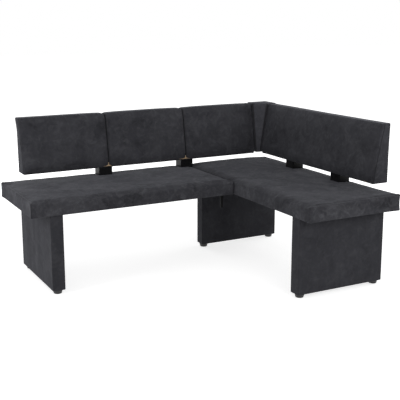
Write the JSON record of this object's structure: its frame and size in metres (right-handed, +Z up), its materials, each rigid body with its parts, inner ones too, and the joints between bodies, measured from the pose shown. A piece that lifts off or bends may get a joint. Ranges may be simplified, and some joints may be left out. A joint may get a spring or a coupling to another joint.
{
  "type": "corner bench",
  "caption": "Upholstered corner bench: padded seats on covered panel legs, sloping padded backs on steel posts, and a padded wedge in the corner.",
  "frame": {"origin": "on the floor under the middle of the bench's bounding box", "axes": "+X along the long side towards the wing, +Y towards the long side's back, +Z up"},
  "size_m": [1.67, 1.238, 0.835],
  "materials": {
    "microfibre": "napped anthracite microfibre with faint clouding",
    "dust_cloth": "thin black felted cloth",
    "foam": "open-cell cut foam",
    "plywood": "raw birch plywood",
    "chipboard": "raw chipboard",
    "beech": "raw turned beech",
    "black_steel": "fine black powder coat",
    "zinc_steel": "bright zinc plating",
    "black_plastic": "moulded, slightly glossy"
  },
  "bodies": {
    "root": {"long_seat_cover": "microfibre", "wing_seat_cover": "microfibre", "long_back_cover": "microfibre", "wing_back_cover": "microfibre", "corner_cover": "microfibre", "left_leg_cover": "microfibre", "middle_leg_cover": "microfibre", "front_leg_cover": "microfibre", "long_seat_dust_cloth": "dust_cloth", "wing_seat_dust_cloth": "dust_cloth", "long_seat_foam": "foam", "wing_seat_foam": "foam", "long_back_foam": "foam", "wing_back_foam": "foam", "corner_foam": "foam", "long_seat_board": "plywood", "wing_seat_board": "plywood", "long_back_board": "plywood", "long_back_rail": "plywood", "wing_back_board": "plywood", "wing_back_rail": "plywood", "corner_block": "plywood", "left_leg_core": "chipboard", "middle_leg_core": "chipboard", "front_leg_core": "chipboard", "corner_dowel_long_lower": "beech", "corner_dowel_long_upper": "beech", "corner_dowel_wing_lower": "beech", "corner_dowel_wing_upper": "beech", "long_post_left": "black_steel", "long_post_right": "black_steel", "wing_post_rear": "black_steel", "wing_post_front": "black_steel", "joint_strap": "black_steel", "joint_hook_strap": "black_steel", "long_post_left_bolt_a": "zinc_steel", "long_post_left_bolt_b": "zinc_steel", "long_post_right_bolt_a": "zinc_steel", "long_post_right_bolt_b": "zinc_steel", "wing_post_rear_bolt_a": "zinc_steel", "wing_post_rear_bolt_b": "zinc_steel", "wing_post_front_bolt_a": "zinc_steel", "wing_post_front_bolt_b": "zinc_steel", "left_leg_bolt_rear": "zinc_steel", "left_leg_bolt_front": "zinc_steel", "middle_leg_bolt_left": "zinc_steel", "middle_leg_bolt_right": "zinc_steel", "front_leg_bolt_left": "zinc_steel", "front_leg_bolt_right": "zinc_steel", "joint_strap_screw_left": "zinc_steel", "joint_strap_screw_right": "zinc_steel", "joint_hook_strap_screw_left": "zinc_steel", "joint_hook_strap_screw_right": "zinc_steel", "left_leg_glide_rear": "black_plastic", "left_leg_glide_front": "black_plastic", "middle_leg_glide_left": "black_plastic", "middle_leg_glide_right": "black_plastic", "front_leg_glide_left": "black_plastic", "front_leg_glide_right": "black_plastic"}
  },
  "joints": []
}
